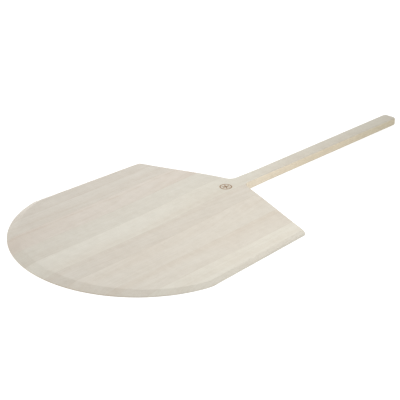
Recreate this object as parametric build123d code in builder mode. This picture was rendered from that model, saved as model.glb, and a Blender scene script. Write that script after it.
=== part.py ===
from build123d import *

import math
import os

# A wooden pizza peel, built as such peels are made: boards are glued edge to edge into a panel,
# the panel is planed to its shape, and the longest board runs on as the handle.
# +Y points along the handle, +X across the blade, +Z up. The peel lies on its flat underside,
# and the origin is the middle of that underside's bounding box. Millimetres.

# ---------------------------------------------------------------- driving dimensions
overall_length = 1074.0         # a little over 42 in, front tip to handle end
blade_width = 508.0             # 20 in, at the widest, after the blends
side_corner_width = 508.73      # where the front arc and the sides would meet without a blend
front_arc_depth = 251.0         # semi-axis of the front ellipse, along the peel
front_arc_half_width = 260.6    # semi-axis of the front ellipse, across the peel
side_blend_radius = 60.0        # where the front arc meets the straight sides
shoulder_from_tip = 472.0       # where the sides end
shoulder_width = 481.5          # blade width there, after the sides' slight taper
neck_from_tip = 537.5           # where the shoulders' lines meet the handle's edges
neck_radius = 19.0
handle_width = 35.0
handle_thickness = 18.0
handle_end_radius = 9.0         # its corners in plan
handle_rounding = 4.0           # of all its long edges, and around its end
rounding_length = 60.0          # over which the neck's eased edges grow into that rounding

rim_height = 1.9                # thickness left at the front edge
bevel_rise = 10.0               # height over which the two insets below are measured
front_bevel_inset = 66.0
side_bevel_inset = 24.0
bevel_taper = 0.35              # the bevel's lower line tapers this much of what the sides do,
                                # so the rim thickens and the bevel narrows to the shoulders
neck_flat_radius = 70.0         # the neck keeps the handle's thickness about this far out
crown_radius = 250.0            # where the steeper fall from the neck has ended
crown_thickness = 7.8           # thickness there
tip_thickness = 5.5             # thickness the top would have at the tip without the bevel
flat_blend = 1500.0             # radius between the flat neck and the fall
crown_blend = 3500.0            # radius between the fall and the nearly flat blade

eased_edge = 1.2                # rounding of the neck's and shoulders' edges

# Glue lines between the boards, from the far side (-X) to the near side (+X).
glue_lines = [-203.0, -152.0, -95.0, -40.0, 19.5, 70.0, 142.0, 198.0]
board_names = [
    "far_board_4",
    "far_board_3",
    "far_board_2",
    "far_board_1",
    "centre_board",
    "near_board_1",
    "near_board_2",
    "near_board_3",
    "near_board_4",
]

# ---------------------------------------------------------------- derived places
tip_y = -overall_length / 2
end_y = overall_length / 2
neck_y = tip_y + neck_from_tip
shoulder_y = tip_y + shoulder_from_tip
arc_cut = math.degrees(math.acos(side_corner_width / 2 / front_arc_half_width))
arc_end_y = tip_y + front_arc_depth * (1 - math.sin(math.radians(arc_cut)))
side_slope = (side_corner_width - shoulder_width) / 2 / (shoulder_y - arc_end_y)
shoulder_slope = (neck_y - shoulder_y) / (shoulder_width / 2 - handle_width / 2)
rounding_start = neck_y + neck_radius
rounding_end = rounding_start + rounding_length
margin = 40.0


def blade_outline(height, inset, slope):
    """Front ellipse, blends and sides, run on past the handle.

    inset is 0 for the blade's edge and 1 where the bevel has risen by bevel_rise.
    slope is how much the sides close in per millimetre towards the shoulders.
    """
    arc_x = front_arc_half_width - side_bevel_inset * inset
    arc_y = front_arc_depth - front_bevel_inset * inset
    back_y = end_y + margin
    with BuildSketch(Plane.XY.offset(height)) as outline:
        with BuildLine():
            front = EllipticalCenterArc(
                (0, tip_y + front_arc_depth),
                arc_x,
                arc_y,
                start_angle=180 + arc_cut,
                arc_size=180 - 2 * arc_cut,
            )
            far = front @ 0
            near = front @ 1
            far_back = (far.X + slope * (back_y - far.Y), back_y)
            near_back = (near.X - slope * (back_y - near.Y), back_y)
            Line(far, far_back)
            Line(far_back, near_back)
            Line(near_back, near)
        make_face()
        fillet(outline.vertices().group_by(Axis.Y)[0], side_blend_radius * (1 - 0.3 * inset))
    return outline.sketch


def crown_profile():
    """Half section of the blade's top surface, which falls away from the neck on all sides."""
    reach = neck_from_tip + margin
    tip_slope = (crown_thickness - tip_thickness) / (neck_from_tip - crown_radius)
    reach_height = crown_thickness - tip_slope * (reach - crown_radius)
    with BuildSketch(Plane.XZ.offset(-neck_y)) as profile:
        with BuildLine():
            Polyline(
                (0, 0),
                (reach, 0),
                (reach, reach_height),
                (crown_radius, crown_thickness),
                (neck_flat_radius, handle_thickness),
                (0, handle_thickness),
                close=True,
            )
        make_face()
        corners = profile.vertices().filter_by(lambda v: abs(v.X - crown_radius) < 1)
        fillet(corners, crown_blend)
        corners = profile.vertices().filter_by(lambda v: abs(v.X - neck_flat_radius) < 1)
        fillet(corners, flat_blend)
    return profile.sketch


def back_outline():
    """Shoulders, neck and handle in plan; in front of them it is wider than the blade."""
    outer_x = blade_width / 2 + margin
    outer_y = shoulder_y - shoulder_slope * (outer_x - shoulder_width / 2)
    half_handle = handle_width / 2
    with BuildSketch() as outline:
        with BuildLine():
            Polyline(
                (-outer_x, tip_y - margin),
                (outer_x, tip_y - margin),
                (outer_x, outer_y),
                (half_handle, neck_y),
                (half_handle, end_y),
                (-half_handle, end_y),
                (-half_handle, neck_y),
                (-outer_x, outer_y),
                close=True,
            )
        make_face()
        at_handle = outline.vertices().filter_by(lambda v: abs(v.X) < handle_width)
        fillet(at_handle.group_by(Axis.Y)[0], neck_radius)
    return outline.sketch


def handle_section(y, rounding):
    """Cross-section of the handle at y."""
    with BuildSketch(Plane.XZ.offset(-y)) as section:
        with Locations((0, handle_thickness / 2)):
            RectangleRounded(handle_width, handle_thickness, rounding)
    return section.sketch


# ---------------------------------------------------------------- the planed panel
with BuildPart() as top_limit:
    add(crown_profile())
    revolve(axis=Axis((0, neck_y, 0), (0, 0, 1)))
    with BuildSketch():
        with Locations((0, (neck_y + end_y + margin) / 2)):
            Rectangle(2 * handle_width, end_y + margin - neck_y)
    extrude(amount=handle_thickness)

with BuildPart() as bevel_limit:
    below = -rim_height / bevel_rise
    loft(
        [
            blade_outline(0, below, side_slope * bevel_taper),
            blade_outline(rim_height + bevel_rise, 1, side_slope * bevel_taper),
        ],
        ruled=True,
    )
    add(blade_outline(rim_height + bevel_rise, 1, side_slope * bevel_taper))
    extrude(amount=handle_thickness)

with BuildPart() as blade:
    add(blade_outline(0, 0, side_slope))
    extrude(amount=handle_thickness + bevel_rise)
    add(bevel_limit.part, mode=Mode.INTERSECT)
    add(back_outline())
    extrude(amount=handle_thickness + margin, mode=Mode.INTERSECT)
    add(top_limit.part, mode=Mode.INTERSECT)
    split(bisect_by=Plane.XZ.offset(-rounding_start), keep=Keep.TOP)

    # Ease the level edges behind the blade, but not the seam across the top at the neck.
    behind = blade.edges().filter_by(lambda e: shoulder_y - 4 < (e @ 0.5).Y < rounding_start - 1)
    level = behind.filter_by(lambda e: abs((e % 0.5).Z) < 0.9)
    seam = level.filter_by(lambda e: abs((e @ 0.5).X) < 1)
    fillet(level - seam, eased_edge)

with BuildPart() as rounding_change:
    loft([handle_section(rounding_start, eased_edge), handle_section(rounding_end, handle_rounding)])

with BuildPart() as handle:
    with BuildSketch() as handle_plan:
        with Locations((0, (rounding_end + end_y) / 2)):
            Rectangle(handle_width, end_y - rounding_end)
        fillet(handle_plan.vertices().group_by(Axis.Y)[-1], handle_end_radius)
    extrude(amount=handle_thickness)
    outer = handle.edges().filter_by(lambda e: (e @ 0.5).Y > rounding_end + 1)
    fillet(outer.filter_by(lambda e: abs((e % 0.5).Z) < 0.1), handle_rounding)

with BuildPart() as panel:
    add(blade.part)
    add(rounding_change.part)
    add(handle.part)

# ---------------------------------------------------------------- its boards
board_edges = [-blade_width / 2 - margin] + glue_lines + [blade_width / 2 + margin]

os.makedirs("parts", exist_ok=True)
for name, low_x, high_x in zip(board_names, board_edges, board_edges[1:]):
    with BuildPart() as board:
        add(panel.part)
        with Locations(((low_x + high_x) / 2, 0, 0)):
            Box(high_x - low_x, overall_length + margin, 4 * handle_thickness, mode=Mode.INTERSECT)
    board.part.label = name
    export_step(board.part, f"parts/{name}.step")
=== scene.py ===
import math

import bmesh
import bpy
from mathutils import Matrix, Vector
from mathutils.geometry import delaunay_2d_cdt
from mathutils.kdtree import KDTree

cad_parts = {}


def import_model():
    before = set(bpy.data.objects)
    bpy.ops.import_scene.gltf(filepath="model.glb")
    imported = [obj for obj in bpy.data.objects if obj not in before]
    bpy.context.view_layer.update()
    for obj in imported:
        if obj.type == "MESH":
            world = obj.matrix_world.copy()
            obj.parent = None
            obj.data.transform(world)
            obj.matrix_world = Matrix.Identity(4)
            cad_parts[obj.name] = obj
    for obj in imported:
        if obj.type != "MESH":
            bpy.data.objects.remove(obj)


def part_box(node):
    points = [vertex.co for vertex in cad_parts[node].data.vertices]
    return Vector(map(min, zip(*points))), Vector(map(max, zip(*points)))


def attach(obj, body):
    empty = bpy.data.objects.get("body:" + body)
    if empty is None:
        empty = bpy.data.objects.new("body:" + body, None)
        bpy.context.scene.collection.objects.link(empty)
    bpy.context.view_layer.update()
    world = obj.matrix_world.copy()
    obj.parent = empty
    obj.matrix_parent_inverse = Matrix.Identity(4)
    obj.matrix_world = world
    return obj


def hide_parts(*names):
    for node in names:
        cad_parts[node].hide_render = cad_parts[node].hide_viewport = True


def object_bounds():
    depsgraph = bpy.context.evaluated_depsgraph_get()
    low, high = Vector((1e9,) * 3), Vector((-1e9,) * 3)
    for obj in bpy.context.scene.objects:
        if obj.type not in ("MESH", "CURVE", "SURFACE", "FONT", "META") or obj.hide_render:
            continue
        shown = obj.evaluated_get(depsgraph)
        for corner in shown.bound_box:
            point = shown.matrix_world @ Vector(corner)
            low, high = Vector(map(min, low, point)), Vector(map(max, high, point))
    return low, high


# A bare wooden pizza peel: nine boards glued edge to edge, lying flat on a pale floor.
# Metres, in the CAD frame: +Y along the handle, +X across the blade, +Z up.

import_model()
cad_low, cad_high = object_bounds()

MM = 0.001

# ---------------------------------------------------------------- the boards
# One clear wood for the whole peel. Each board has its own shade of it, and pink is red added to
# that. The far boards are the darker ones, the near ones lighten outwards, and the centre board
# is pale and without pink; this lightening towards the near side is partly the boards' own tone
# and partly painted light, for the light that falls more on the near side. streaks says how strong
# a board's growth lines are. pith is where the tree's centre lay, in mm from the board's middle and
# below its underside, which decides how the rings run through the board. stain is one soft darker
# streak along it: its distance from the board's far edge and its width in mm, and its strength.
CLEAR_WOOD = (0.46, 0.44, 0.385)
BOARDS = {
    "far_board_4": dict(shade=0.88, pink=0.01, streaks=0.9, pith=(-60, 90), stain=(14, 18, 0.2)),
    "far_board_3": dict(shade=0.90, pink=0.01, streaks=1.0, pith=(40, 70), stain=(30, 14, 0.2)),
    "far_board_2": dict(shade=0.91, pink=0.02, streaks=1.1, pith=(-10, 110), stain=(9, 5, 0.45)),
    "far_board_1": dict(shade=0.96, pink=0.00, streaks=0.9, pith=(70, 60), stain=(40, 16, 0.2)),
    "centre_board": dict(shade=1.03, pink=0.00, streaks=0.5, pith=(-90, 50), stain=(48, 9, 0.2)),
    "near_board_1": dict(shade=0.96, pink=0.01, streaks=1.0, pith=(30, 80), stain=(8, 12, 0.4)),
    "near_board_2": dict(shade=1.01, pink=0.01, streaks=0.9, pith=(-50, 100), stain=(22, 12, 0.2)),
    "near_board_3": dict(shade=1.02, pink=0.01, streaks=0.8, pith=(20, 60), stain=(6, 16, 0.45)),
    "near_board_4": dict(shade=1.10, pink=0.00, streaks=0.8, pith=(-80, 70), stain=(26, 10, 0.2)),
}

# The burned mark, a ring cut into six like a pie. Its parts are given in mark radii.
MARK_AT = (0.0, cad_low.y + 501.0 * MM)
MARK_RADIUS = 13.0 * MM
MARK_RING = 0.92 * MARK_RADIUS               # the ring's middle line
SLICE = math.pi / 3
MARK_DEPTH = 0.22 * MM

# Noise is stretched by these: features per metre across, along and through a board.
WANDER_SCALE = (9.0, 1.6, 9.0)
FIBRE_SCALE = (1500.0, 16.0, 1500.0)
PORE_SCALE = (2600.0, 160.0, 2600.0)
FLECK_SCALE = (620.0, 42.0, 620.0)
MOTTLE_SCALE = (40.0, 62.0, 40.0)
PATCH_SCALE = (14.0, 4.5, 14.0)
RING_SCALE, BAND_SCALE = 420.0, 60.0         # along a board's radius from the tree's centre
LOG_TAPER = 0.006                            # how fast the rings narrow along the tree

# What the wood's colour is multiplied by where each feature is at its strongest.
RING_TINT = (0.86, 0.81, 0.75, 1)
BAND_TINT = (0.90, 0.86, 0.81, 1)
FIBRE_TINT = (0.91, 0.89, 0.86, 1)
PORE_TINT = (0.74, 0.66, 0.57, 1)
FLECK_TINT = (0.84, 0.78, 0.70, 1)
MOTTLE_TINT = (0.945, 0.940, 0.935, 1)
PATCH_TINT = (0.965, 0.940, 0.925, 1)
STAIN_TINT = (0.92, 0.87, 0.83, 1)
END_GRAIN_TINT = (0.90, 0.85, 0.79, 1)
GLUE_TINT = (0.76, 0.68, 0.58, 1)
SIDE_TONE_AND_LIGHT_TINT = (1.17, 1.09, 0.95, 1)            # the handle's sides: yellower sawn wood, and brighter as painted light
# painted light: the handle's sides lighter by the neck
SIDE_PAINTED_LIGHT_BY_NECK_TINT = (1.12, 1.12, 1.16, 1)
# painted shade: the handle's sides darker towards its end
SIDE_PAINTED_SHADE_BY_END_TINT = (0.84, 0.845, 0.83, 1)
HANDLE_PAINTED_SHADE_TINT = (0.86, 0.85, 0.82, 1)            # painted shade: the centre board darker along it towards the handle's end
SCORCHED_TINT = (0.80, 0.62, 0.44, 1)
BURNED_TINT = (0.42, 0.27, 0.16, 1)


class Graph:
    """Short calls for building a material's nodes."""

    def __init__(self, name):
        self.material = bpy.data.materials.new(name)
        self.material.use_nodes = True
        self.tree = self.material.node_tree
        self.tree.nodes.clear()

    def node(self, kind, inputs=None, **settings):
        made = self.tree.nodes.new(kind)
        for key, value in settings.items():
            setattr(made, key, value)
        for key, value in (inputs or {}).items():
            self.put(made.inputs[key], value)
        return made

    def put(self, socket, value):
        if isinstance(value, bpy.types.NodeSocket):
            self.tree.links.new(value, socket)
        else:
            socket.default_value = value

    def math(self, operation, a, b=0.0, c=0.0):
        made = self.node("ShaderNodeMath", operation=operation)
        for socket, value in zip(made.inputs, (a, b, c)):
            self.put(socket, value)
        return made.outputs[0]

    def vector(self, operation, a, b):
        made = self.node("ShaderNodeVectorMath", operation=operation)
        self.put(made.inputs[0], a)
        self.put(made.inputs[1], b)
        return made.outputs[0]

    def step(self, value, low, high, out_low=0.0, out_high=1.0):
        """Smooth step of value from low..high to out_low..out_high."""
        made = self.node("ShaderNodeMapRange", interpolation_type="SMOOTHSTEP")
        for socket, given in zip(made.inputs, (value, low, high, out_low, out_high)):
            self.put(socket, given)
        return made.outputs[0]

    def noise(self, vector, scale, detail=2.0, roughness=0.5, **settings):
        made = self.node("ShaderNodeTexNoise", **settings)
        key = "W" if settings.get("noise_dimensions") == "1D" else "Vector"
        self.put(made.inputs[key], vector)
        self.put(made.inputs["Scale"], scale)
        self.put(made.inputs["Detail"], detail)
        self.put(made.inputs["Roughness"], roughness)
        return made.outputs[0]

    def tint(self, factor, colour, by):
        """colour, with by mixed in over it where factor is 1."""
        made = self.node("ShaderNodeMix", data_type="RGBA", blend_type="MULTIPLY")
        self.put(made.inputs[0], factor)
        self.put(made.inputs[6], colour)
        self.put(made.inputs[7], by)
        return made.outputs[2]


def burn(g, x, y, edge_noise):
    """How dark the burned mark is, from its lines and the scorched wood around them."""
    dx, dy = g.math("SUBTRACT", x, MARK_AT[0]), g.math("SUBTRACT", y, MARK_AT[1])
    r = g.math("SQRT", g.math("ADD", g.math("MULTIPLY", dx, dx), g.math("MULTIPLY", dy, dy)))
    from_ring = g.math("ABSOLUTE", g.math("SUBTRACT", r, MARK_RING))
    angle = g.math("FLOORED_MODULO", g.math("ARCTAN2", dy, dx), SLICE)
    across = g.math("ABSOLUTE", g.math("SINE", g.math("SUBTRACT", angle, SLICE / 2)))
    past_spoke = g.step(r, MARK_RADIUS * 0.70, MARK_RADIUS * 0.78, 0, MARK_RADIUS)
    from_spoke = g.math("ADD", g.math("MULTIPLY", across, r), past_spoke)
    away = g.math("MINIMUM", from_ring, from_spoke)
    away = g.math("ADD", away, g.math("MULTIPLY", g.math("SUBTRACT", edge_noise, 0.5), 0.6 * MM))
    line = g.step(away, MARK_RADIUS * 0.05, MARK_RADIUS * 0.11, 1.0, 0.0)
    scorch = g.step(away, MARK_RADIUS * 0.05, MARK_RADIUS * 0.30, 0.35, 0.0)
    return line, scorch


def growth(g, place, moved, middle, pith):
    """The growth rings, and bands of slower and faster years, from how far the pith is."""
    x, y, z = g.node("ShaderNodeSeparateXYZ", {0: place}).outputs
    slow = g.noise(g.vector("MULTIPLY", moved, WANDER_SCALE), 1.0, 2.0)
    wander = g.math("MULTIPLY", g.math("SUBTRACT", slow, 0.5), 16.0 * MM)
    dx = g.math("ADD", g.math("SUBTRACT", x, middle + pith[0] * MM), wander)
    dz = g.math("ADD", z, pith[1] * MM)
    r = g.math("SQRT", g.math("ADD", g.math("MULTIPLY", dx, dx), g.math("MULTIPLY", dz, dz)))
    r = g.math("ADD", r, g.math("MULTIPLY", y, LOG_TAPER))
    rings = g.noise(r, RING_SCALE, 2.0, 0.6, noise_dimensions="1D")
    bands = g.noise(r, BAND_SCALE, 1.0, 0.5, noise_dimensions="1D")
    return rings, bands


def stained(g, colour, x, board_low, stain, patches, mottle):
    """colour with one soft streak of darker, pinker wood, fading in and out on its way."""
    offset, width, strength = stain
    sway = g.math("MULTIPLY", g.math("SUBTRACT", patches, 0.5), 10.0 * MM)
    off = g.math("ABSOLUTE", g.math("SUBTRACT", g.math("ADD", x, sway), board_low + offset * MM))
    here = g.step(off, 0.0, width * MM, strength, 0.0)
    here = g.math("MULTIPLY", here, g.step(mottle, 0.2, 0.6, 0.5, 1.0))
    return g.tint(here, colour, STAIN_TINT)


def handled(g, colour, normal_x, y, fibres, mottle):
    """colour with the handle's sides yellower as sawn wood and brightened as painted light, with painted
    light on the sides by the neck and painted shade towards the handle's end.
    """
    along = g.math("ADD", y, g.math("MULTIPLY", g.math("SUBTRACT", mottle, 0.5), 0.16))
    sides = g.step(g.math("ABSOLUTE", normal_x), 0.5, 0.95)
    sides = g.math("MULTIPLY", sides, g.step(fibres, 0.2, 0.7, 0.75, 1.0))
    # The sides are yellower as sawn wood, and brightened as painted light.
    colour = g.tint(sides, colour, SIDE_TONE_AND_LIGHT_TINT)
    # Painted light: the sides lighter by the neck.
    painted_light_by_neck = g.math("MULTIPLY", sides, g.step(along, 0.02, 0.24, 1.0, 0.0))
    colour = g.tint(painted_light_by_neck, colour, SIDE_PAINTED_LIGHT_BY_NECK_TINT)
    # Painted shade: the sides darker towards the handle's end.
    painted_shade_by_end = g.math("MULTIPLY", sides, g.step(along, 0.30, 0.50))
    colour = g.tint(painted_shade_by_end, colour, SIDE_PAINTED_SHADE_BY_END_TINT)
    # Painted shade: the board darker along it towards the handle's end.
    painted_shade_along = g.math("ADD", g.step(along, -0.30, 0.0, 0.0, 0.25), g.step(along, 0.10, 0.60, 0.0, 0.4))
    return g.tint(painted_shade_along, colour, HANDLE_PAINTED_SHADE_TINT)


def wood(name, shade, pink, streaks, pith, stain):
    """Bare planed wood whose growth rings run through the board, so end grain shows on its ends."""
    g = Graph(name + "_wood")
    low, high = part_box(name)
    seed = sorted(BOARDS).index(name) * 3.7
    place = g.node("ShaderNodeTexCoord").outputs["Object"]
    x, y, z = g.node("ShaderNodeSeparateXYZ", {0: place}).outputs
    moved = g.vector("ADD", place, (seed, seed * 0.7, seed * 1.3))
    rings, bands = growth(g, place, moved, (low.x + high.x) / 2, pith)

    # Fibres, pores and short flecks are stretched along the board; blotches hardly are.
    fibres = g.noise(g.vector("MULTIPLY", moved, FIBRE_SCALE), 1.0, 3.0, 0.6)
    pores = g.step(g.noise(g.vector("MULTIPLY", moved, PORE_SCALE), 1.0, 1.0), 0.60, 0.72)
    flecks = g.step(g.noise(g.vector("MULTIPLY", moved, FLECK_SCALE), 1.0, 1.0), 0.66, 0.76)
    mottle = g.noise(g.vector("MULTIPLY", moved, MOTTLE_SCALE), 1.0, 3.0, 0.6)
    patches = g.noise(g.vector("MULTIPLY", moved, PATCH_SCALE), 1.0, 2.0)

    # Each board's shade is partly its own tone and partly painted light, lighter towards the near side.
    red, green, blue = (part * shade for part in CLEAR_WOOD)
    colour = (red + pink, green, blue, 1)
    colour = g.tint(g.step(rings, 0.35, 0.75, 0.0, 0.20 * streaks), colour, RING_TINT)
    colour = g.tint(g.step(bands, 0.30, 0.70, 0.0, 0.14 * streaks), colour, BAND_TINT)
    colour = g.tint(g.step(fibres, 0.30, 0.75, 0.0, 0.55), colour, FIBRE_TINT)
    colour = g.tint(g.math("MULTIPLY", pores, 0.30), colour, PORE_TINT)
    colour = g.tint(g.math("MULTIPLY", flecks, 0.30), colour, FLECK_TINT)
    colour = g.tint(g.step(mottle, 0.35, 0.70, 0.0, 0.65), colour, MOTTLE_TINT)
    colour = g.tint(g.step(patches, 0.35, 0.70, 0.0, 0.8), colour, PATCH_TINT)
    colour = stained(g, colour, x, low.x, stain, patches, mottle)

    # End grain drinks more and looks darker.
    normal = g.node("ShaderNodeSeparateXYZ", {0: g.node("ShaderNodeNewGeometry").outputs["Normal"]})
    ends = g.step(g.math("ABSOLUTE", normal.outputs["Y"]), 0.3, 0.95)
    colour = g.tint(ends, colour, END_GRAIN_TINT)

    # The glue line, a hair of darker wood along each edge that meets a neighbour.
    to_edge = g.math("MINIMUM", g.math("SUBTRACT", x, low.x), g.math("SUBTRACT", high.x, x))
    line = g.step(to_edge, 0.1 * MM, 0.5 * MM, 1.0, 0.0)
    colour = g.tint(g.math("MULTIPLY", line, 0.5), colour, GLUE_TINT)

    rough = g.step(fibres, 0.2, 0.8, 0.56, 0.72)
    relief = g.math("ADD", g.math("MULTIPLY", fibres, 0.6), g.math("MULTIPLY", rings, 0.4))
    relief = g.math("SUBTRACT", relief, g.math("MULTIPLY", pores, 0.5))

    if name == "centre_board":
        colour = handled(g, colour, normal.outputs["X"], y, fibres, mottle)
        upper = g.step(z, 8.0 * MM, 11.0 * MM)
        burned, scorched = (g.math("MULTIPLY", part, upper) for part in burn(g, x, y, fibres))
        colour = g.tint(scorched, colour, SCORCHED_TINT)
        colour = g.tint(burned, colour, BURNED_TINT)
        rough = g.math("ADD", rough, g.math("MULTIPLY", burned, 0.15))

    bump = g.node("ShaderNodeBump", {"Strength": 0.35, "Distance": 0.12 * MM, "Height": relief})
    shader = g.node("ShaderNodeBsdfPrincipled", {
        "Base Color": colour,
        "Roughness": rough,
        "Normal": bump.outputs[0],
        "Specular IOR Level": 0.3,
    })
    g.node("ShaderNodeOutputMaterial", {0: shader.outputs[0]})
    return g.material


# ---------------------------------------------------------------- the panel's shape
# The same outline and planed surface as the CAD's, so that each board can be meshed finely,
# with a softened edge, a hairline joint to its neighbour and the burned mark sunk into it.
TIP_Y, END_Y = cad_low.y, cad_high.y
THICKNESS = cad_high.z
HANDLE_HALF = 17.5 * MM
ARC_DEPTH, ARC_HALF = 251.0 * MM, 260.6 * MM      # semi-axes of the front ellipse
ARC_Y = TIP_Y + ARC_DEPTH
CORNER_HALF = 254.365 * MM                        # where the ellipse and the sides would meet
SIDE_BLEND = 60.0 * MM
SHOULDER_HALF, SHOULDER_Y = 240.75 * MM, TIP_Y + 472.0 * MM
NECK_Y = TIP_Y + 537.5 * MM
NECK_RADIUS, END_RADIUS = 19.0 * MM, 9.0 * MM
HANDLE_ROUNDING = 4.0 * MM
ROUNDING_START = NECK_Y + NECK_RADIUS             # from here the neck's eased edges grow into it
ROUNDING_END = ROUNDING_START + 60.0 * MM
RIM, RISE = 1.9 * MM, 10.0 * MM
FRONT_INSET, SIDE_INSET = 66.0 * MM, 24.0 * MM    # how far in the bevel is when it has risen RISE
BEVEL_TAPER = 0.35
FLAT_RADIUS, CROWN_RADIUS = 70.0 * MM, 250.0 * MM
CROWN_THICKNESS, TIP_THICKNESS = 7.8 * MM, 5.5 * MM
FLAT_BLEND, CROWN_BLEND = 1.5, 3.5

CUT = math.acos(CORNER_HALF / ARC_HALF)
CORNER_Y = ARC_Y - ARC_DEPTH * math.sin(CUT)
SIDE_SLOPE = (CORNER_HALF - SHOULDER_HALF) / (SHOULDER_Y - CORNER_Y)
BEVEL_SLOPE = SIDE_SLOPE * BEVEL_TAPER
FALL = (CROWN_THICKNESS - THICKNESS) / (CROWN_RADIUS - FLAT_RADIUS)
TIP_FALL = (TIP_THICKNESS - CROWN_THICKNESS) / (NECK_Y - TIP_Y - CROWN_RADIUS)

STEP = 6.0 * MM                                   # size of the mesh's cells
EASED, EASED_RIM = 1.2 * MM, 0.6 * MM             # rounding behind the blade, and of its thin rim
CORNER_RADIUS = 2.0 * MM                          # the shoulders' corners, softened in plan
SHARP = math.radians(50)
ROUNDING = [math.radians(a) for a in (0, 22.5, 45, 67.5, 90)]
CLOSE = 1e-7                                      # two places nearer than this are the same


def bend(r, place, slope_change, radius):
    """Extra height beyond a bend of the given radius between two nearly level slopes."""
    half = radius * abs(slope_change) / 2
    if r <= place - half:
        return 0.0
    if r >= place + half:
        return slope_change * (r - place)
    return slope_change * (r - place + half) ** 2 / (4 * half)


def crown(x, y):
    """Height of the blade's planed top, which falls away from the neck on all sides."""
    if y >= NECK_Y:
        return THICKNESS
    r = math.hypot(x, y - NECK_Y)
    fall = bend(r, FLAT_RADIUS, FALL, FLAT_BLEND)
    return THICKNESS + fall + bend(r, CROWN_RADIUS, TIP_FALL - FALL, CROWN_BLEND)


def bevel(x, y):
    """Height of the bevel's surface along the blade's front and sides."""
    x = abs(x)
    c, s = math.cos(CUT), math.sin(CUT)
    side = (ARC_HALF * c - BEVEL_SLOPE * (y - ARC_Y + ARC_DEPTH * s) - x) / (
        SIDE_INSET * c - BEVEL_SLOPE * FRONT_INSET * s)
    if y >= ARC_Y:
        return RIM + RISE * side
    low, high = -0.5, 1.5
    for _ in range(24):
        middle = (low + high) / 2
        across = x / (ARC_HALF - SIDE_INSET * middle)
        along = (y - ARC_Y) / (ARC_DEPTH - FRONT_INSET * middle)
        if across * across + along * along < 1:
            low = middle
        else:
            high = middle
    return RIM + RISE * min(side, low)


def mark_depth(x, y):
    """How deep the burned mark is: a ring cut into six like a pie, sunk where the iron was."""
    p = Vector((x, y)) - Vector(MARK_AT)
    r = p.length
    if r > MARK_RADIUS * 1.2:
        return 0.0
    ring = 1 - abs(r - MARK_RING) / (MARK_RADIUS * 0.10)
    angle = (math.atan2(p.y, p.x) % SLICE) - SLICE / 2
    spoke = 1 - abs(math.sin(angle)) * r / (MARK_RADIUS * 0.06)
    spoke = min(spoke, (MARK_RADIUS * 0.72 - r) / (MARK_RADIUS * 0.05))
    return MARK_DEPTH * max(0.0, min(1.0, 1.6 * max(ring, spoke)))


def top(x, y):
    return min(crown(x, y), bevel(x, y), THICKNESS) - mark_depth(x, y)


def arc(centre, start, end, count):
    """Points on a circle about centre from start to end, the short way round."""
    a = math.atan2(start.y - centre.y, start.x - centre.x)
    b = math.atan2(end.y - centre.y, end.x - centre.x)
    turn = (b - a + math.pi) % (2 * math.pi) - math.pi
    r = (start - centre).length
    angles = [a + turn * i / count for i in range(count + 1)]
    return [centre + r * Vector((math.cos(t), math.sin(t))) for t in angles]


def ellipse_point(angle):
    return Vector((ARC_HALF * math.cos(angle), ARC_Y - ARC_DEPTH * math.sin(angle)))


def near_outline():
    """Half of the outline in plan, from the tip along +X to the end of the handle."""
    corner = Vector((CORNER_HALF, CORNER_Y))
    shoulder = Vector((SHOULDER_HALF, SHOULDER_Y))
    along_side = (shoulder - corner).normalized()
    out_of_side = Vector((along_side.y, -along_side.x))

    # The blend's circle touches the side, and touches the ellipse at the angle found here.
    low, high = CUT, CUT + math.radians(40)
    for _ in range(40):
        angle = (low + high) / 2
        inward = -Vector((math.cos(angle) / ARC_HALF, -math.sin(angle) / ARC_DEPTH)).normalized()
        centre = ellipse_point(angle) + inward * SIDE_BLEND
        if (corner - centre).dot(out_of_side) < SIDE_BLEND:
            low = angle
        else:
            high = angle
    on_side = centre + out_of_side * SIDE_BLEND
    count = 60
    front = [ellipse_point(math.pi / 2 + (angle - math.pi / 2) * i / count) for i in range(count)]
    blend = arc(centre, ellipse_point(angle), on_side, 6)

    neck = Vector((HANDLE_HALF, NECK_Y))
    to_neck = (neck - shoulder).normalized()
    reach = CORNER_RADIUS * math.tan(along_side.angle(to_neck) / 2)
    before, after = shoulder - along_side * reach, shoulder + to_neck * reach
    corner_round = arc(before - out_of_side * CORNER_RADIUS, before, after, 5)
    reach = NECK_RADIUS * math.tan(to_neck.angle(Vector((0, 1))) / 2)
    neck_start, neck_end = neck - to_neck * reach, neck + Vector((0, reach))
    fillet = arc(neck_end + Vector((NECK_RADIUS, 0)), neck_start, neck_end, 12)
    end = Vector((HANDLE_HALF, END_Y))
    rounding = arc(end - Vector((END_RADIUS, END_RADIUS)), end - Vector((0, END_RADIUS)),
                   end - Vector((END_RADIUS, 0)), 8)
    return front + blend + corner_round + fillet + rounding


def divided(points, closed=False):
    """The same line with no stretch longer than a cell."""
    ends = points[1:] + points[:1] if closed else points[1:]
    made = []
    for p, q in zip(points, ends):
        count = max(1, math.ceil((q - p).length / STEP))
        made += [p.lerp(q, i / count) for i in range(count)]
    return made if closed else made + [points[-1]]


def cut_at(points, places, closed=False):
    """The same line with a point wherever it crosses one of the joints."""
    ends = points[1:] + points[:1] if closed else points[1:] + [None]
    made = []
    for p, q in zip(points, ends):
        made.append(p)
        if q is None:
            continue
        crossed = [g for g in places if (p.x - g) * (q.x - g) < 0]
        for g in sorted(crossed, key=lambda g: abs(g - p.x)):
            crossing = p.lerp(q, (g - p.x) / (q.x - p.x))
            crossing.x = g
            made.append(crossing)
    return made


def runs(points, low, high):
    """The stretches of a closed line that lie between two joints, in order."""
    between = [low - CLOSE <= p.x <= high + CLOSE for p in points]
    if all(between):
        return [points]
    first = between.index(False)
    turned = points[first:] + points[:first]
    between = between[first:] + between[:first]
    found = []
    for p, kept, before in zip(turned, between, [False] + between):
        if kept and not before:
            found.append([])
        if kept:
            found[-1].append(p)
    return [run for run in found if len(run) > 1]


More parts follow.
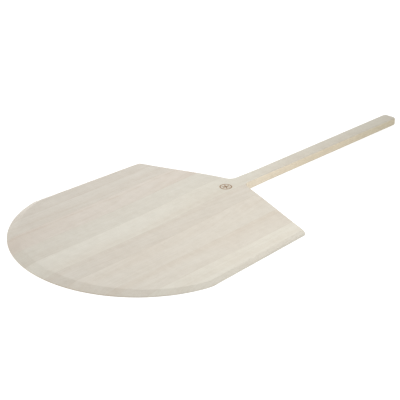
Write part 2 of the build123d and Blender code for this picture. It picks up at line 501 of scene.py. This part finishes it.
def normals(loop):
    """Outward normals of a closed line, scaled so that offsets keep their distance at corners."""
    made = []
    for before, p, after in zip(loop[-1:] + loop[:-1], loop, loop[1:] + loop[:1]):
        a, b = (p - before).normalized(), (after - p).normalized()
        n = Vector((a.y + b.y, -a.x - b.x)).normalized()
        made.append(n / max(0.5, n.dot(Vector((b.y, -b.x)))))
    return made


def edge_radius(y):
    """How much the level edges are rounded: hardly at the rim, well along the handle."""
    if y < SHOULDER_Y - CORNER_RADIUS:
        return EASED_RIM
    along = (y - ROUNDING_START) / (ROUNDING_END - ROUNDING_START)
    return EASED + (HANDLE_ROUNDING - EASED) * max(0.0, min(1.0, along))


def edge_rings(loop):
    """The outline and four lines inside it, which carry the rounding of its edges.

    Each point's third number is how far the surface has dropped there.
    """
    rings = [[] for _ in ROUNDING]
    for p, n in zip(loop, normals(loop)):
        radius = edge_radius(p.y)
        for ring, angle in zip(rings, ROUNDING):
            q = p - n * radius * (1 - math.cos(angle))
            ring.append(Vector((q.x, q.y, radius * (1 - math.sin(angle)))))
    return rings


def crease_line(loop):
    """Where the bevel meets the crown, found inwards from each point of the blade's edge."""
    made = []
    for p, n in zip(loop, normals(loop)):
        low, high = 3 * MM, 40 * MM
        q = p - n * low
        if p.y > SHOULDER_Y - 3 * MM or bevel(q.x, q.y) >= crown(q.x, q.y):
            continue
        for _ in range(26):
            middle = (low + high) / 2
            q = p - n * middle
            if bevel(q.x, q.y) < crown(q.x, q.y):
                low = middle
            else:
                high = middle
        made.append(Vector((q.x, q.y, 0)))
    return made


def joint_points(x, lines):
    """The points down a joint between two boards, from the blade's front edge to its back."""
    ends = sorted((p for line in lines for p in line if abs(p.x - x) < CLOSE), key=lambda p: p.y)
    made = ends[:1]
    for p in ends[1:]:
        gap = p.y - made[-1].y
        if gap > 4 * EASED:
            start, count = made[-1], math.ceil(gap / STEP)
            made += [Vector((x, start.y + gap * i / count, 0)) for i in range(1, count)]
        made.append(p)
    return made


def along_joint(start, end, lines):
    """The joint's points strictly between two points on it, in the order from start to end."""
    points = joint_points(start.x, lines)
    low, high = sorted((start.y, end.y))
    between = [p for p in points if low + CLOSE < p.y < high - CLOSE]
    return between if end.y > start.y else between[::-1]


def board_mesh(name, low, high, rings, crease):
    """One board as a closed mesh of even cells, with its outer edges rounded."""
    polygon = []
    for run in runs(rings[0], low, high):
        if polygon:
            polygon += along_joint(polygon[-1], run[0], rings + [crease])
        polygon += run
    polygon += along_joint(polygon[-1], polygon[0], rings + [crease])

    # The crease is an open line, and a point far off it keeps its two ends apart.
    far_off = Vector((10 * ARC_HALF, 0, 0))
    lines = [run for ring in rings[1:] for run in runs(ring, low, high)]
    creases = runs(crease + [far_off], low, high)
    points, segments, crisp = list(polygon), [], []
    for line in lines + creases:
        first = len(points)
        points += line
        joined = [(first + i, first + i + 1) for i in range(len(line) - 1)
                  if (line[i + 1] - line[i]).length < 2 * STEP]
        segments += joined
        if line in creases:
            crisp += joined
    edge_points = KDTree(len(points))
    for i, p in enumerate(points):
        edge_points.insert((p.x, p.y, 0), i)
    edge_points.balance()
    marked = low < MARK_AT[0] < high
    for p in cell_points(low, high):
        if marked and (p - Vector(MARK_AT)).length < MARK_RADIUS * 1.3:
            continue
        if edge_points.find((p.x, p.y, 0))[2] > 0.55 * STEP and inside(p, polygon):
            points.append(Vector((p.x, p.y, 0)))
    if marked:
        points += mark_points()

    flat = [p.xy for p in points]
    verts, _, triangles, origins, _, _ = delaunay_2d_cdt(
        flat, segments, [list(range(len(polygon)))], 1, CLOSE)
    place = {old: new for new, olds in enumerate(origins) for old in olds}
    drop = [max((points[i].z for i in olds), default=0.0) for olds in origins]

    bm = bmesh.new()
    upper = [bm.verts.new((v.x, v.y, top(v.x, v.y) - d)) for v, d in zip(verts, drop)]
    lower = [bm.verts.new((v.x, v.y, d)) for v, d in zip(verts, drop)]
    for t in triangles:
        bm.faces.new([upper[i] for i in t])
        bm.faces.new([lower[i] for i in reversed(t)])
    wall = [place[i] for i in range(len(polygon))]
    for i, j in zip(wall, wall[1:] + wall[:1]):
        bm.faces.new([upper[i], lower[i], lower[j], upper[j]])
        x = verts[i].x
        if abs(x - verts[j].x) < CLOSE and min(abs(x - low), abs(x - high)) < CLOSE:
            for side in (upper, lower):
                bm.edges.get((side[i], side[j])).smooth = False
    for v in [v for v in bm.verts if not v.link_faces]:
        bm.verts.remove(v)
    for edge in bm.edges:
        if edge.calc_face_angle(0) > SHARP:
            edge.smooth = False
    for i, j in crisp:
        edge = bm.edges.get((upper[place[i]], upper[place[j]]))
        if edge:
            edge.smooth = False
    for face in bm.faces:
        face.smooth = True
    bmesh.ops.recalc_face_normals(bm, faces=bm.faces)
    mesh = bpy.data.meshes.new(name + "_planed")
    bm.to_mesh(mesh)
    bm.free()
    return mesh


def cell_points(low, high):
    """An even triangular grid over the peel, between two joints."""
    row_height = STEP * math.sqrt(3) / 2
    rows = math.ceil((END_Y - TIP_Y) / row_height)
    count = math.ceil((high - low) / STEP)
    for j in range(rows):
        for i in range(count + 1):
            x = low + (i + 0.5 * (j % 2)) * (high - low) / count
            yield Vector((x, TIP_Y + j * row_height))


def mark_points():
    """A fine grid under the burned mark, so that its sunk lines are real."""
    fine = MARK_RADIUS / 26
    count = 34
    made = []
    for j in range(-count, count + 1):
        for i in range(-count, count + 1):
            p = Vector(((i + 0.5 * (j % 2)) * fine, j * fine * math.sqrt(3) / 2))
            if p.length < MARK_RADIUS * 1.15:
                made.append((Vector(MARK_AT) + p).to_3d())
    return made


def inside(p, polygon):
    """True if p is inside the polygon in plan."""
    crossings = 0
    for a, b in zip(polygon, polygon[1:] + polygon[:1]):
        if (a.y > p.y) != (b.y > p.y) and p.x < a.x + (p.y - a.y) * (b.x - a.x) / (b.y - a.y):
            crossings += 1
    return crossings % 2 == 1


def make_boards():
    names = sorted(BOARDS, key=lambda n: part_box(n)[0].x)
    joints = [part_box(n)[1].x for n in names[:-1]]
    half = near_outline()
    whole = half + [Vector((-p.x, p.y)) for p in reversed(half) if p.x > CLOSE]
    outline = divided(whole, closed=True)
    rings = [cut_at(ring, joints, closed=True) for ring in edge_rings(outline)]
    crease = cut_at(crease_line(outline), joints)
    edges = [-ARC_HALF] + joints + [ARC_HALF]
    for name, low, high in zip(names, edges, edges[1:]):
        mesh = board_mesh(name, low, high, rings, crease)
        mesh.materials.append(wood(name, **BOARDS[name]))
        board = bpy.data.objects.new(name + "_planed", mesh)
        bpy.context.scene.collection.objects.link(board)
        shading = board.modifiers.new("even_shading", "WEIGHTED_NORMAL")
        shading.keep_sharp = True
        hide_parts(name)
        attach(board, "root")


make_boards()


# ---------------------------------------------------------------- floor, light and camera
def floor():
    bpy.ops.mesh.primitive_plane_add(size=12.0, location=(0, 0, 0))
    made = bpy.context.object
    made.name = "floor"
    g = Graph("floor_paint")
    grain = g.noise(g.node("ShaderNodeTexCoord").outputs["Object"], 40.0, 3.0)
    colour = g.tint(grain, (0.52, 0.52, 0.52, 1), (0.97, 0.97, 0.97, 1))
    shader = g.node("ShaderNodeBsdfPrincipled", {
        "Base Color": colour, "Roughness": 0.9, "Emission Color": (1, 1, 1, 1), "Emission Strength": 0.6})
    g.node("ShaderNodeOutputMaterial", {0: shader.outputs[0]})
    made.data.materials.append(g.material)


def area_light(name, place, aim, size, power):
    data = bpy.data.lights.new(name, "AREA")
    data.shape = "RECTANGLE"
    data.size, data.size_y = size
    data.energy = power
    lamp = bpy.data.objects.new(name, data)
    lamp.location = place
    lamp.visible_camera = False
    lamp.rotation_euler = (Vector(aim) - Vector(place)).to_track_quat("-Z", "Y").to_euler()
    bpy.context.scene.collection.objects.link(lamp)


def world(strength):
    made = bpy.data.worlds.new("studio")
    made.use_nodes = True
    made.node_tree.nodes["Background"].inputs[0].default_value = (1, 1, 1, 1)
    made.node_tree.nodes["Background"].inputs[1].default_value = strength
    bpy.context.scene.world = made


def camera():
    azimuth, elevation = math.radians(44.42), math.radians(25.11)
    distance, aim = 2.5403, Vector((-0.0194, -0.0930, 0.0))
    back = Vector((
        math.sin(azimuth) * math.cos(elevation),
        -math.cos(azimuth) * math.cos(elevation),
        math.sin(elevation)))
    data = bpy.data.cameras.new("camera")
    data.sensor_width = 36.0
    data.lens = 110.45
    made = bpy.data.objects.new("camera", data)
    made.location = aim + back * distance
    made.rotation_euler = back.to_track_quat("Z", "Y").to_euler()
    bpy.context.scene.collection.objects.link(made)
    bpy.context.scene.camera = made


bpy.context.scene.view_settings.view_transform = "Standard"
floor()
world(0.98)
area_light("key", (-2.95, 1.7, 0.75), (0, 0, 0), (1.2, 1.2), 54)
area_light("top", (0.20, -0.04, 0.6), (0.1, -0.04, 0), (0.4, 0.4), 1.9)
area_light("fill_left", (-1.9, -2.15, 0.3), (0, 0, 0), (1.2, 1.2), 40)
area_light("fill_right", (2.6, 0.9, 0.35), (0, 0, 0), (1.2, 1.2), 12)
camera()
